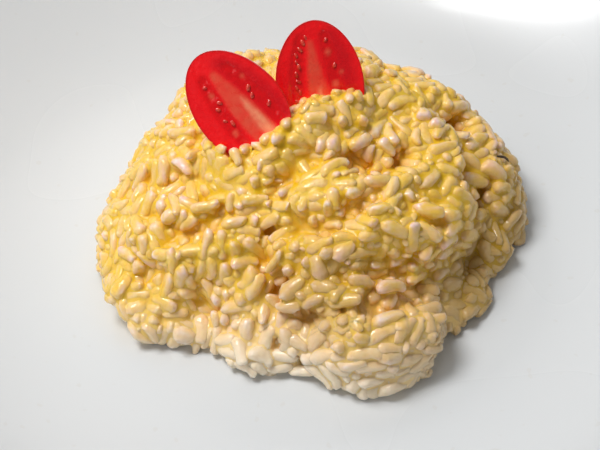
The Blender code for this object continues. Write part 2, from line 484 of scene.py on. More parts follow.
def furrow(points):
    """How deep the furrows are, and how high the swellings (less than nothing), at each point, in metres."""
    deepest, highest = np.zeros(len(points)), np.zeros(len(points))
    for width, deep, line in furrows:
        for start, end in zip(line, line[1:]):
            start, end = np.array(start), np.array(end)
            along = ((points - start) @ (end - start) / ((end - start) @ (end - start))).clip(0, 1)
            away = np.linalg.norm(points - start - along[:, None] * (end - start), axis=1)
            near = (FURROW_REACH - away / ((width + FURROW_WIDER) * MM)).clip(0, 1)
            amount = deep * MM * near * near * (3 - 2 * near)
            deepest, highest = np.maximum(deepest, amount * FURROW_STRENGTH), np.minimum(highest, amount)
    return deepest, highest


def hollow(points):
    """How far the heap's skin stays below the outline at each point of an array, in metres."""
    dips = np.array([noise.noise(Vector(p) / (DIP_SPAN * MM)) for p in points])
    foot = ((points[:, 2] - mound_low.z) / (FOOT_FADE * MM)).clip(0, 1)
    down, up = furrow(points)
    return (DIP_DEPTH * MM * dips + down) * foot + up


def remeshed(mesh, voxel, smoothing):
    """A mesh fused into one skin of even squares and smoothed."""
    holder = bpy.data.objects.new("remesh", mesh)
    bpy.context.scene.collection.objects.link(holder)
    fuse = holder.modifiers.new("fuse", "REMESH")
    fuse.mode = "VOXEL"
    fuse.voxel_size = voxel * MM
    flow = holder.modifiers.new("flow", "SMOOTH")
    flow.factor = 0.5
    flow.iterations = smoothing
    made = bpy.data.meshes.new_from_object(holder.evaluated_get(bpy.context.evaluated_depsgraph_get()))
    bpy.data.objects.remove(holder)
    return made


def coordinates(mesh):
    """Points and smooth normals of a mesh, as two arrays."""
    mesh.shade_smooth()
    return np.array([v.co[:] for v in mesh.vertices]), np.array([v.normal[:] for v in mesh.vertices])


skin_mesh = remeshed(outline_mesh, SKIN_VOXEL, SKIN_SMOOTHING)
skin_points, skin_normals = coordinates(skin_mesh)
skin_points -= skin_normals * hollow(skin_points)[:, None]
skin_points[:, 2] = np.maximum(skin_points[:, 2], mound_low.z)
skin_mesh.vertices.foreach_set("co", skin_points.ravel())
skin_mesh.update()
skin_tree = tree_of(skin_mesh)
print(f"heap's skin: {len(skin_mesh.polygons)} faces, {time.time() - started:.1f} s")


def depth_and_normal(point, tree=skin_tree):
    """Depth under a skin, and the outward normal there."""
    near, normal, _, _ = tree.find_nearest(point)
    return (near - point).dot(normal), normal


# %% [markdown]
# ## One grain of rice
#
# Cooked risotto rice is plump, a little flat, blunt at one end and often bent. An ellipsoid is the
# obvious stand-in, but its pointed ends look like seeds. A sphere whose rings follow a fuller curve, then
# tapered, bent and dented by noise, keeps the same few dozen faces. Each kind has five castings, so that
# no pattern of twins shows.

# %% Model the grains
GRAIN_SIDES = 10
GRAIN_RINGS = 7
CASTINGS = 5
# how much of its kind's bend each casting is bowed by, and how much its ends turn out of that plane
BENDS = (1.3, -0.7, 0.4, 1.0, 0.1)
TWISTS = (0.0, 0.5, -0.6, 0.2, 0.8)
DENT = 0.62
DENT_SCALE = 0.5
DENT_SEED = 4
CASTING_STEP = 11.0
# name: length, width, thickness, fullness of the ends, bend, taper, share of all grains
GRAIN_KINDS = {
    "whole": (7.4, 3.6, 3.1, 2.75, 0.50, 0.10, 0.42),
    "plump": (6.4, 3.8, 3.3, 2.70, 0.30, 0.14, 0.30),
    "slender": (8.0, 3.3, 2.8, 2.70, 1.20, 0.10, 0.12),
    "broken": (4.9, 3.4, 3.0, 3.00, 0.20, 0.18, 0.16),
}


def grain(length, width, thickness, fullness, bend, taper, casting):
    """One grain: its long axis is Z, its flat side looks along Y."""
    bm = bmesh.new()
    bmesh.ops.create_uvsphere(bm, u_segments=GRAIN_SIDES, v_segments=GRAIN_RINGS, radius=1.0)
    power = 2 / fullness
    for vert in bm.verts:
        x, y, z = vert.co
        ring = math.hypot(x, y)
        along = math.copysign(abs(z) ** power, z)
        around = ring**power / ring if ring > 1e-6 else 0.0
        swell = 1 - taper * along
        x = x * around * swell * width / 2
        y = y * around * swell * thickness / 2
        place = Vector((x, y, along * length / 2))
        place.x += bend * (1 - along * along) * BENDS[casting]
        place.y += bend * along**3 * TWISTS[casting]
        dent = noise.noise_vector(place * DENT_SCALE + Vector((CASTING_STEP * casting, length, 0.0)))
        vert.co = (place + dent * DENT) * MM
    return bm


def arrays_of(bm):
    """The points of a bmesh as an array, and its faces as lists of point numbers."""
    bm.verts.index_update()
    points = np.array([v.co[:] for v in bm.verts])
    faces = [[v.index for v in f.verts] for f in bm.faces]
    bm.free()
    return points, faces


# noise_vector starts from the clock unless it is given a seed
noise.seed_set(DENT_SEED)
castings = {
    name: [arrays_of(grain(*sizes[:6], casting)) for casting in range(CASTINGS)]
    for name, sizes in GRAIN_KINDS.items()
}
print("faces in a grain:", len(castings["whole"][0][1]))

# %% [markdown]
# ## Grains placed one by one
#
# Chance gives a heap the right texture, but not the few grains that make one serving different from the
# next: those on the brow before the tomato, beside the furrows and along the front edge. A food stylist
# would set them with tweezers. Here each is two pixels of the photograph, where its ends show. The heap's
# slope there says how it lies, and the grains laid by chance have to make room for it.

# %% Name the grains that show most
# in pixels: x and y of one end, x and y of the other, and the thickness; in mm: the height over the heap
NAMED_GRAINS = np.array([
    170, 193, 175, 212, 9, 0, 189, 211, 216, 205, 12, 0, 160, 203, 163, 220, 11, 0,
    219, 224, 245, 218, 10, 0, 206, 228, 198, 258, 11, 0, 222, 232, 222, 260, 9, 0,
    235, 243, 235, 262, 8, 0, 150, 249, 178, 251, 11, 0, 178, 252, 204, 250, 11, 0,
    133, 228, 135, 250, 9, 0, 193, 161, 206, 156, 9, 0, 246, 158, 262, 156, 9, 0,
    240, 200, 268, 199, 10, 0, 254, 229, 278, 215, 10, 0, 108, 225, 106, 260, 10, 0,
    169, 252, 171, 275, 10, 0, 170, 275, 161, 303, 10, 0, 180, 288, 197, 292, 15, 0,
    138, 264, 138, 272, 13, 0, 203, 262, 193, 283, 12, 0, 214, 254, 213, 275, 10, 0,
    262, 276, 246, 300, 14, 0, 216, 311, 252, 309, 11, 0, 220, 312, 222, 330, 10, 0,
    212, 326, 209, 348, 9, 0, 233, 338, 214, 356, 10, 0, 243, 322, 245, 345, 14, 0,
    141, 315, 160, 313, 14, 0, 162, 316, 188, 314, 13, 0, 115, 300, 150, 297, 12, 0,
    122, 292, 140, 287, 9, 0, 190, 340, 206, 346, 10, 0, 259, 138, 275, 133, 12, 2.5,
    273, 129, 300, 118, 10, 2, 293, 112, 299, 104, 11, 1.5, 303, 104, 308, 95, 11, 1.5,
    318, 100, 318, 116, 10, 1, 337, 92, 337, 108, 11, 1, 358, 93, 356, 108, 11, 1,
    336, 118, 337, 133, 9, 0, 352, 118, 352, 130, 9, 0, 276, 142, 292, 136, 11, 1.5,
    284, 122, 292, 113, 10, 2, 327, 103, 331, 94, 10, 1, 347, 104, 349, 94, 10, 1,
    337, 148, 352, 140, 11, 0, 352, 143, 372, 133, 12, 0, 372, 132, 388, 115, 12, 0,
    300, 180, 322, 165, 12, 0, 322, 172, 348, 158, 11, 0, 302, 212, 315, 192, 9, 0,
    341, 180, 356, 174, 8, 0, 366, 178, 395, 178, 12, 0, 327, 196, 331, 213, 9, 0,
    391, 209, 403, 192, 10, 0, 368, 206, 392, 200, 12, 0, 281, 195, 300, 185, 10, 0,
    272, 247, 288, 244, 12, 0, 291, 248, 308, 234, 11, 0, 307, 250, 331, 237, 10, 0,
    331, 235, 357, 236, 14, 0, 360, 234, 381, 230, 10, 0, 383, 228, 410, 239, 13, 0,
    310, 217, 313, 230, 9, 0, 262, 276, 276, 256, 9, 0, 280, 300, 303, 280, 15, 0,
    283, 270, 287, 272, 11, 0, 306, 262, 322, 260, 11, 0, 323, 254, 339, 250, 11, 0,
    348, 257, 377, 253, 10, 0, 309, 286, 334, 290, 12, 0, 352, 278, 377, 282, 14, 0,
    355, 293, 359, 300, 15, 0, 274, 313, 300, 313, 11, 0, 300, 312, 322, 301, 10, 0,
    324, 308, 362, 301, 13, 0, 381, 284, 412, 283, 13, 0, 370, 266, 388, 261, 9, 0,
    389, 244, 395, 252, 14, 0, 390, 264, 408, 256, 13, 0, 375, 320, 409, 309, 15, 0,
    287, 326, 286, 346, 12, 0, 262, 356, 273, 328, 12, 0, 263, 358, 299, 361, 12, 0,
    272, 366, 273, 384, 14, 0, 286, 375, 321, 376, 10, 0, 303, 355, 324, 333, 14, 0,
    306, 364, 336, 356, 12, 0, 318, 366, 336, 392, 13, 0, 320, 327, 340, 321, 12, 0,
    340, 322, 358, 316, 11, 0, 348, 358, 382, 357, 13, 0, 341, 343, 349, 347, 12, 0,
    352, 335, 371, 337, 10, 0, 366, 346, 400, 329, 15, 0, 353, 372, 386, 370, 14, 0,
    360, 384, 384, 379, 10, 0, 390, 378, 392, 392, 14, 0, 398, 384, 430, 376, 13, 0,
    402, 367, 426, 362, 14, 0, 412, 348, 426, 318, 13, 0, 434, 344, 432, 322, 10, 0,
    420, 308, 446, 298, 15, 0, 425, 321, 452, 314, 14, 0, 405, 85, 440, 81, 10, 0,
    431, 92, 436, 104, 12, 0, 438, 114, 450, 113, 12, 0, 421, 116, 428, 131, 12, 0,
    452, 107, 474, 103, 13, 0, 431, 140, 443, 130, 9, 0, 430, 150, 462, 141, 12, 0,
    446, 134, 472, 133, 9, 0, 462, 147, 475, 150, 13, 0, 472, 140, 490, 131, 14, 0,
    486, 120, 497, 138, 12, 0, 418, 188, 445, 163, 17, 0, 396, 190, 414, 172, 13, 0,
    484, 165, 512, 180, 16, 0, 464, 177, 492, 181, 14, 0, 455, 190, 478, 203, 14, 0,
    500, 150, 520, 160, 11, 0, 412, 200, 450, 208, 14, 0, 418, 218, 449, 241, 13, 0,
    420, 256, 428, 240, 12, 0, 436, 255, 450, 250, 15, 0, 412, 265, 420, 268, 11, 0,
    414, 283, 432, 272, 10, 0, 452, 237, 466, 221, 12, 0, 453, 260, 469, 254, 13, 0,
    487, 203, 501, 210, 14, 0, 478, 216, 492, 210, 10, 0, 513, 244, 506, 267, 11, 0,
    510, 232, 522, 214, 13, 0, 483, 242, 492, 266, 14, 0, 452, 246, 476, 250, 13, 0,
    478, 282, 483, 308, 14, 0, 466, 317, 487, 305, 12, 0, 444, 286, 465, 283, 12, 0,
]).reshape(-1, 6)
# the photograph's blur hides the edges of thin grains, so those under THIN_LOOK pixels get BLUR more
THIN_LOOK = 13
BLUR = 1
THINNEST = 10
# how the named grains lie and how large they are, in millimetres
NAMED_PROUD = 0.15
NAMED_SINK = 1.2
NAMED_SHORTEST = 6.0
NAMED_STEEP = 6.6
NAMED_LONGEST = 8.4
NAMED_REACH = 9.5
NAMED_LONGER = 0.5
NAMED_OUT = 0.3
# width over what shows, thickness over width, and the part of its width that a raised grain lies back
NAMED_PLUMPER = 1.12
NAMED_FLAT = 0.88
NAMED_BACK = 0.3
# a grain this many times as long as wide is of the whole kind, and else of the plump one
SLIM = 2.0
# the cosine between the line of sight and the normal under which the slope says too little
EDGE_ON = 0.25


def grain_seen(x1, y1, x2, y2, thick, lift):
    """Centre, direction, length and width of a grain whose ends show at two pixels."""
    spot, normal, look = seen((x1 + x2) / 2, (y1 + y2) / 2, [outline_tree, *tomato_trees.values()])
    spot = spot - look * lift * MM
    away = (spot - eye).length
    thick = max(thick + BLUR, THINNEST) if thick < THIN_LOOK else thick
    width = thick * away / LENS_PIXELS
    flat = sight(x2, y2) - sight(x1, y1)
    flat = (flat - look * flat.dot(look)) * away
    room = math.sqrt(max(0.0, (NAMED_REACH * MM) ** 2 - flat.length_squared))
    facing = look.dot(normal)
    inwards = 0.0
    if not lift and abs(facing) >= EDGE_ON:
        inwards = max(-room, min(room, -flat.dot(normal) / facing))
    way = flat + look * inwards
    if way.length < NAMED_SHORTEST * MM:
        # a grain that looks short is a steep one, with its far end in the heap
        inwards = math.sqrt((NAMED_STEEP * MM) ** 2 - flat.length_squared)
        way = flat + look * inwards
        spot = spot + look * (width / 2 if lift else (width + inwards) / 2)
    elif lift:
        spot = spot + look * width * NAMED_BACK
    else:
        spot = spot - normal * (width / 2 - NAMED_OUT * MM)
    return spot, way.normalized(), way.length + NAMED_LONGER * MM, width


named_seen = [grain_seen(*row) for row in NAMED_GRAINS]
print(f"{len(named_seen)} named grains")

# %% [markdown]
# ## Heaping the rice
#
# Grains can be dropped by a physics simulation, but that takes minutes and never fills a given outline.
# Scattering them at random is quick, but they cut through each other. This is the way between: scatter
# them through the outer few millimetres, then let each one, as a row of three balls, push its neighbours
# away and stay under the skin, again and again until they lie side by side. Each grain keeps its own
# least depth, so that some stand out of the sauce and others are nearly drowned.

# %% Scatter the grains
GRAIN_COUNT = 2500
SHELL_DEPTH = 5.8
DEPTH_POWER = 1.2
# the top of a grain stays at least -PROUD to SUNK - PROUD under the skin, more often little than much
PROUD = 0.6
SUNK = 1.8
SUNK_POWER = 1.4
SIZE_SPREAD = 0.1
SIZE_LIMITS = (0.78, 1.25)
SHORTEST_SPAN = 0.4
UNDERSIDE = -0.6
NEARLY_LEVEL = 0.15
# which way the grains lie, in degrees from downhill, on the left of a line and on the right of it
LEFT_TURN = 20
RIGHT_TURN = 75
LEFT_UNTIL = -5.0
SWIRL = 1.6
SWIRL_SPAN = 17.0
TURN_SPREAD = 0.6
TILT_SPREAD = 0.28
rng = np.random.default_rng(20)


def spots_on_skin(count):
    """Random points on the mound, evenly spread, apart from its underside."""
    corners = np.array([[skin_mesh.vertices[i].co[:] for i in p.vertices[:4]] for p in skin_mesh.polygons])
    cross = np.cross(corners[:, 2] - corners[:, 0], corners[:, 3] - corners[:, 1])
    area = np.linalg.norm(cross, axis=1)
    upright = cross[:, 2] / np.maximum(area, 1e-12)
    area[(upright < UNDERSIDE) | (corners[:, :, 2].max(1) < mound_low.z + 0.05 * MM)] = 0
    chosen = corners[rng.choice(len(area), count, p=area / area.sum())]
    u, v = rng.random((2, count, 1))
    near, far = chosen[:, 0] * (1 - u) + chosen[:, 1] * u, chosen[:, 3] * (1 - u) + chosen[:, 2] * u
    return near * (1 - v) + far * v


def lie(point, normal):
    """The way a grain points: along the skin, mostly downhill on the left and across it on the right."""
    downhill = Vector((0, 0, -1)) - normal * normal.dot(Vector((0, 0, -1)))
    if downhill.length < NEARLY_LEVEL:
        downhill = Vector((0, -1, 0)) - normal * normal.dot(Vector((0, -1, 0)))
    downhill.normalize()
    across = normal.cross(downhill)
    swirl = noise.noise(point / (SWIRL_SPAN * MM)) * SWIRL
    base = math.radians(LEFT_TURN if point.x < LEFT_UNTIL * MM else RIGHT_TURN)
    turn = base + swirl + rng.normal(0, TURN_SPREAD)
    flat = downhill * math.cos(turn) + across * math.sin(turn)
    return (flat + normal * rng.normal(0, TILT_SPREAD)).normalized()


kinds = list(GRAIN_KINDS)
kind_of = rng.choice(len(kinds), GRAIN_COUNT, p=[GRAIN_KINDS[k][6] for k in kinds])
sizes = np.array([GRAIN_KINDS[k][:3] for k in kinds])[kind_of]
swelling = rng.normal(1.0, SIZE_SPREAD, (GRAIN_COUNT, 3)).clip(*SIZE_LIMITS)
sizes = sizes * swelling
ball = (sizes[:, 1] + sizes[:, 2]) / 4 * MM
half_span = np.maximum(sizes[:, 0] / 2 * MM - ball, SHORTEST_SPAN * MM)
centre = np.zeros((GRAIN_COUNT, 3))
axis = np.zeros((GRAIN_COUNT, 3))
for i, spot in enumerate(spots_on_skin(GRAIN_COUNT)):
    _, normal = depth_and_normal(Vector(spot))
    depth = ball[i] + rng.random() ** DEPTH_POWER * (SHELL_DEPTH * MM - ball[i])
    centre[i] = Vector(spot) - normal * depth
    axis[i] = lie(Vector(spot), normal)
sunk = (rng.random(GRAIN_COUNT) ** SUNK_POWER * SUNK - PROUD) * MM

# the named grains join the end of every list
named = np.arange(len(NAMED_GRAINS)) + GRAIN_COUNT
named_length = np.minimum([length / MM for _, _, length, _ in named_seen], NAMED_LONGEST)
named_width = np.array([width / MM for _, _, _, width in named_seen]) * NAMED_PLUMPER
named_sizes = np.stack([named_length, named_width, named_width * NAMED_FLAT], 1)
named_kind = np.where(named_length / named_width > SLIM, kinds.index("whole"), kinds.index("plump"))
named_swelling = named_sizes / np.array([GRAIN_KINDS[kinds[k]][:3] for k in named_kind])
swelling = np.vstack([swelling, named_swelling])
kind_of = np.concatenate([kind_of, named_kind])
centre = np.vstack([centre, [spot for spot, _, _, _ in named_seen]])
axis = np.vstack([axis, [way for _, way, _, _ in named_seen]])
named_ball = (named_sizes[:, 1] + named_sizes[:, 2]) / 4 * MM
for i, spot in zip(named, centre[named]):
    depth, normal = depth_and_normal(Vector(spot))
    wanted = named_ball[i - GRAIN_COUNT] - NAMED_PROUD * MM
    centre[i] += np.array(normal) * max(depth - wanted, -NAMED_SINK * MM)
ball = np.concatenate([ball, named_ball])
named_span = np.maximum(named_sizes[:, 0] / 2 * MM - named_ball, SHORTEST_SPAN * MM)
half_span = np.concatenate([half_span, named_span])
sunk = np.concatenate([sunk, np.zeros(len(named))])
GRAINS = len(centre)
print(f"{GRAINS} grains in all, {time.time() - started:.1f} s")

# %% Push them apart
ROUNDS = 70
PAIRS_EVERY = 7
SQUASH = 0.84
REACH = 4.6 * MM
PUSH = 0.45
# a ball that many others touch moves less for each
CROWDING = 0.6
SETTLE = 0.6
SETTLE_LAST = 0.9
LAST_ROUNDS = 6
DEEPER = 1.5
FLOOR_SHARE = 0.9
TOMATO_REACH = 6.0
TOMATO_SHARE = 0.9
TOMATO_PUSH = 0.7
offsets = np.array([-1.0, 0.0, 1.0])
ball3 = np.repeat(ball, 3)
owner = np.repeat(np.arange(GRAINS), 3)
free = owner < GRAIN_COUNT
least_of = ball3 + sunk[owner]


def balls():
    along = offsets[None, :, None] * half_span[:, None, None]
    return (centre[:, None] + axis[:, None] * along).reshape(-1, 3)


def near_pairs(points):
    """Pairs of balls of different grains that lie within reach of each other."""
    tree = KDTree(len(points))
    for i, point in enumerate(points):
        tree.insert(point, i)
    tree.balance()
    found = [(i, j) for i, point in enumerate(points) for _, j, _ in tree.find_range(point, REACH) if j > i]
    found = np.array(found)
    return found[owner[found[:, 0]] != owner[found[:, 1]]].T


for turn in range(ROUNDS):
    points = balls()
    if turn % PAIRS_EVERY == 0:
        one, two = near_pairs(points)
    apart = points[two] - points[one]
    gap = np.linalg.norm(apart, axis=1)
    overlap = ((ball3[one] + ball3[two]) * SQUASH - gap).clip(0) * PUSH
    push = apart / np.maximum(gap, 1e-9)[:, None] * overlap[:, None]
    moved = np.zeros_like(points)
    np.add.at(moved, one, -push * np.where(free[two], 1, 2)[:, None])
    np.add.at(moved, two, push * np.where(free[one], 1, 2)[:, None])
    touches = sum(np.bincount(side, overlap > 0, len(points)) for side in (one, two))
    moved *= ((1 + CROWDING) / (CROWDING + np.maximum(1, touches)))[:, None]
    moved[~free] = 0
    for i, point in enumerate((points + moved)[free]):
        depth, normal = depth_and_normal(Vector(point))
        least = least_of[i]
        wanted = min(max(depth, least), max(least, (SHELL_DEPTH + DEEPER) * MM))
        settle = SETTLE if turn < ROUNDS - LAST_ROUNDS else SETTLE_LAST
        moved[i] += np.array(normal) * (depth - wanted) * settle
        moved[i, 2] += max(0.0, mound_low.z + ball3[i] * FLOOR_SHARE - point[2] - moved[i, 2])
        for tree in tomato_trees.values():
            near, away, _, _ = tree.find_nearest(Vector(point), TOMATO_REACH * MM)
            if near is not None:
                out = (Vector(point) - near).dot(away)
                moved[i] += np.array(away) * max(0.0, ball3[i] * TOMATO_SHARE - out) * TOMATO_PUSH
    three = moved.reshape(-1, 3, 3)
    ends = axis * half_span[:, None] + (three[:, 2] - three[:, 0]) / 2
    centre += three.mean(1)
    axis = ends / np.linalg.norm(ends, axis=1)[:, None]
print(f"largest overlap left {overlap.max() / PUSH / MM:.2f} mm, {time.time() - started:.1f} s")

# %% [markdown]
# ## From places to grains
#
# Each grain needs a full set of axes, not only the way it points: a cooked grain is a little flat, and
# its flat side lies outwards. All the copies of one kind are joined into one mesh by array sums, which is
# thousands of times faster than making objects. A random tone goes with each grain, for its colour.

# %% Build the rice meshes
ROLL_SPREAD = 0.35


def stands(numbers, shrink):
    """A 3 x 3 array of axes for each numbered grain, scaled by its own swelling."""
    made = np.zeros((len(numbers), 3, 3))
    for row, i in enumerate(numbers):
        _, normal = depth_and_normal(Vector(centre[i]))
        z = Vector(axis[i])
        y = Vector(normal) + Vector(roll[i]) * ROLL_SPREAD
        x = y.cross(z).normalized()
        y = z.cross(x)
        made[row] = np.array([x, y, z]).T * (swelling[i][[1, 2, 0]] * np.array(shrink))
    return made


def joined(numbers, pattern, shrink):
    """Points and faces of copies of a casting, one for each numbered grain."""
    points, faces = pattern
    axes = stands(numbers, shrink)
    placed = np.einsum("nij,vj->nvi", axes, points) + centre[numbers][:, None]
    copies = [[v + len(points) * row for v in face] for row in range(len(numbers)) for face in faces]
    return placed.reshape(-1, 3), copies


def merged(parts):
    """Several (points, faces) as one."""
    points, faces, first = [], [], 0
    for some_points, some_faces in parts:
        points.append(some_points)
        faces.extend([[v + first for v in face] for face in some_faces])
        first += len(some_points)
    return np.vstack(points), faces


roll = rng.normal(0, 1, (GRAINS, 3))
casting_of = rng.integers(0, CASTINGS, GRAINS)
tone = rng.random(GRAINS)
print(f"axes ready, {time.time() - started:.1f} s")


def heap(kind, shrink=(1.0, 1.0, 1.0)):
    """All the grains of one kind, with their numbers."""
    parts, numbers = [], []
    for casting in range(CASTINGS):
        mine = np.flatnonzero((kind_of == kind) & (casting_of == casting))
        parts.append(joined(mine, castings[kinds[kind]][casting], shrink))
        numbers.append(np.repeat(mine, len(castings[kinds[kind]][casting][0])))
    return (*merged(parts), np.concatenate(numbers))


# %% [markdown]
# ## The sauce
#
# Starch and cheese make a thick sauce that fills every gap between the grains and climbs a little up
# their sides. Modelling it by hand is hopeless. Voxel remeshing does it: the heap's skin, sunk by a grain
# and a half, and thinner copies of all the grains are fused into one, and smoothing it fills its crevices
# and lowers its tops, as a thick liquid does. It is also the core under the rice, so no hole shows
# between the grains.

# %% Pour the sauce
CORE_DEPTH = 4.6
FOOT_INSET = 5.0
SAUCE_VOXEL = 0.78
SAUCE_SMOOTHING = 5
GRAIN_IN_SAUCE = (0.88, 0.86, 0.94)
SAUCE_SWELL = 0.3
SAUCE_SWELL_SPAN = 9.0
SAUCE_SWELL_AT = Vector((3.1, 8.7, 5.5))
SAUCE_RISE = 0.1
SAUCE_DROP = 0.2
UNDERSIDE_HEIGHT = 0.6


def largest_skin(mesh):
    """The mesh without the small closed skins inside it and the crumbs beside it."""
    bm = bmesh.new()
    bm.from_mesh(mesh)
    unseen = set(bm.verts)
    biggest = set()
    while unseen:
        front = [unseen.pop()]
        island = set(front)
        while front:
            near = {edge.other_vert(vert) for vert in front for edge in vert.link_edges} & unseen
            unseen -= near
            island |= near
            front = list(near)
        if len(island) > len(biggest):
            biggest = island
    bmesh.ops.delete(bm, geom=[vert for vert in bm.verts if vert not in biggest], context="VERTS")
    bm.to_mesh(mesh)
    bm.free()
    return mesh


low = mound_low.z + UNDERSIDE_HEIGHT * MM
middle = (np.array(mound_low) + np.array(mound_high)) / 2
skin_points, skin_normals = coordinates(skin_mesh)
inwards = (middle - skin_points) * (1, 1, 0)
reach = np.linalg.norm(inwards, axis=1)
inwards *= np.minimum(1.0, FOOT_INSET * MM / np.maximum(reach, 1e-6))[:, None]
sunken = skin_points - skin_normals * CORE_DEPTH * MM
core_points = np.where(skin_points[:, 2:] < low, skin_points + inwards, sunken)
core_points[:, 2] = np.maximum(core_points[:, 2], mound_low.z)

thin = [heap(kind, GRAIN_IN_SAUCE)[:2] for kind in range(len(kinds))]
sauce_points, sauce_faces = merged([(core_points, [list(p.vertices) for p in skin_mesh.polygons]), *thin])
sauce_mesh = bpy.data.meshes.new("sauce")
sauce_mesh.from_pydata(sauce_points.tolist(), [], sauce_faces)
sauce_mesh = largest_skin(remeshed(sauce_mesh, SAUCE_VOXEL, SAUCE_SMOOTHING))
print(f"sauce: {len(sauce_mesh.polygons)} faces, {time.time() - started:.1f} s")


# %% Note how deep each point lies
def set_attribute(mesh, name, values):
    made = mesh.attributes.new(name, "FLOAT", "POINT")
    made.data.foreach_set("value", np.asarray(values, np.float32))


spots, ways = coordinates(sauce_mesh)
swell = np.array([noise.noise(Vector(p) / (SAUCE_SWELL_SPAN * MM) + SAUCE_SWELL_AT) for p in spots])
swell += SAUCE_RISE
spots += ways * (swell * SAUCE_SWELL * MM)[:, None]
spots[:, 2] = np.maximum(spots[:, 2], mound_low.z - SAUCE_DROP * MM)
sauce_mesh.vertices.foreach_set("co", spots.ravel())
sauce_mesh.update()
depths = [depth_and_normal(v.co, outline_tree)[0] / MM for v in sauce_mesh.vertices]
set_attribute(sauce_mesh, "depth", depths)
grain_points, grain_faces = merged([heap(kind)[:2] for kind in range(len(kinds))])
grain_tree = BVHTree.FromPolygons(grain_points.tolist(), grain_faces)
films = []
for vert in sauce_mesh.vertices:
    near, normal, _, _ = grain_tree.find_nearest(vert.co)
    films.append(max(0.0, (vert.co - near).dot(normal)) / MM)
set_attribute(sauce_mesh, "film", films)
print(f"film: mean {np.mean(films):.2f} mm, 90% under {np.quantile(films, 0.9):.2f} mm")
sauce_tree = tree_of(sauce_mesh)

# %% [markdown]
# ## The colour of the food
#
# Rice is pale and faintly pink where it stands out of the sauce, and golden where the sauce wets it. The
# sauce is pale where it is a thin film over a grain, golden where it pools, and nearly orange at the
# bottom of a furrow. Two plain colours would look like beads in paint. So each point of the meshes
# carries measures: how deep it lies under the outline, how golden a point of a grain is, and how thick
# the sauce is over the nearest grain. The materials mix their colours by these, and noise keeps every
# border uneven. Light also goes a little way into both, which the subsurface setting gives, kept to about
# half a millimetre so that little light is lost where two skins cut.

# %% Mix the rice and the sauce
RICE_PALE = (0.97, 0.71, 0.62)
RICE_WARM = (0.97, 0.67, 0.50)
RICE_PINK = (0.96, 0.62, 0.56)
RICE_CHALK = (0.98, 0.83, 0.78)
RICE_FOOT_PALE = (0.92, 0.79, 0.63)
SAUCE_FOOT_PALE = (0.90, 0.70, 0.40)
SAUCE_FILM = (0.92, 0.60, 0.10)
SAUCE_THIN = (0.80, 0.50, 0.010)
SAUCE_BRIGHT = (0.70, 0.42, 0.002)
SAUCE_DEEP = (0.80, 0.39, 0.002)
# painted shade for the rice and the sauce low on the right flank and in the hollow over the front lobe
RICE_PAINTED_SHADE = (0.56, 0.37, 0.13)
SAUCE_PAINTED_SHADE = (0.46, 0.27, 0.02)
HOLLOW_PLACE = (2.0 * MM, -36.0 * MM, 29.0 * MM)


def pale_front_foot(recipe, place):
    """1 at the foot of the front lobe, where rice and sauce are paler, and 0 in the rest of the heap."""
    place = recipe.node("ShaderNodeSeparateXYZ", {0: place})
    low_down = recipe.fit(place.outputs["Z"], 31.0 * MM, 15.0 * MM)
    return recipe.math("MULTIPLY", low_down, recipe.fit(place.outputs["Y"], -26.0 * MM, -42.0 * MM))


def painted_flank_shade(recipe, place):
    """Painted shade: 1 low on the right flank and in the hollow over the front lobe, else 0."""
    apart = recipe.node("ShaderNodeSeparateXYZ", {0: place})
    low_down = recipe.fit(apart.outputs["Z"], 34.0 * MM, 18.0 * MM)
    flank = recipe.math("MULTIPLY", low_down, recipe.fit(apart.outputs["X"], 12.0 * MM, 36.0 * MM))
    away = recipe.node("ShaderNodeVectorMath", {0: place, 1: HOLLOW_PLACE}, operation="DISTANCE")
    return recipe.math("MAXIMUM", flank, recipe.fit(away.outputs["Value"], 17.0 * MM, 7.0 * MM, 0.0, 0.6))


def rice(recipe):
    place = recipe.place()
    shade = recipe.blend(recipe.attribute("tone"), RICE_PALE, RICE_WARM)
    patch = recipe.fit(recipe.noise(place, 180.0, 2.0), 0.42, 0.62)
    shade = recipe.blend(patch, shade, RICE_PINK)
    chalk = recipe.fit(recipe.noise(place, 330.0, 2.0), 0.53, 0.66, 0.0, 0.7)
    shade = recipe.blend(chalk, shade, RICE_CHALK)
    coat = recipe.attribute("coat")
    smear = recipe.math("ADD", coat, recipe.fit(recipe.noise(place, 260.0, 3.0), 0.35, 0.7, -0.25, 0.2))
    pale_foot = pale_front_foot(recipe, place)
    shade = recipe.blend(pale_foot, shade, RICE_FOOT_PALE)
    cover = recipe.math("MULTIPLY", smear, recipe.fit(pale_foot, 0.0, 1.0, 0.92, 0.15), clamp=True)
    stained = recipe.blend(cover, shade, SAUCE_FILM)
    # painted shade darkens the rice on the right flank and in the front hollow
    stained = recipe.blend(recipe.math("MULTIPLY", painted_flank_shade(recipe, place), 0.9), stained, RICE_PAINTED_SHADE)
    deep = recipe.fit(recipe.attribute("depth"), 3.0, 9.0)
    stained = recipe.blend(deep, stained, SAUCE_DEEP)
    damp = recipe.use(wet_surface, Place=place, Scale=1000.0, Depth=0.32 * MM, Smoothest=0.24, Roughest=0.44)
    return {"Base Color": stained, **damp}


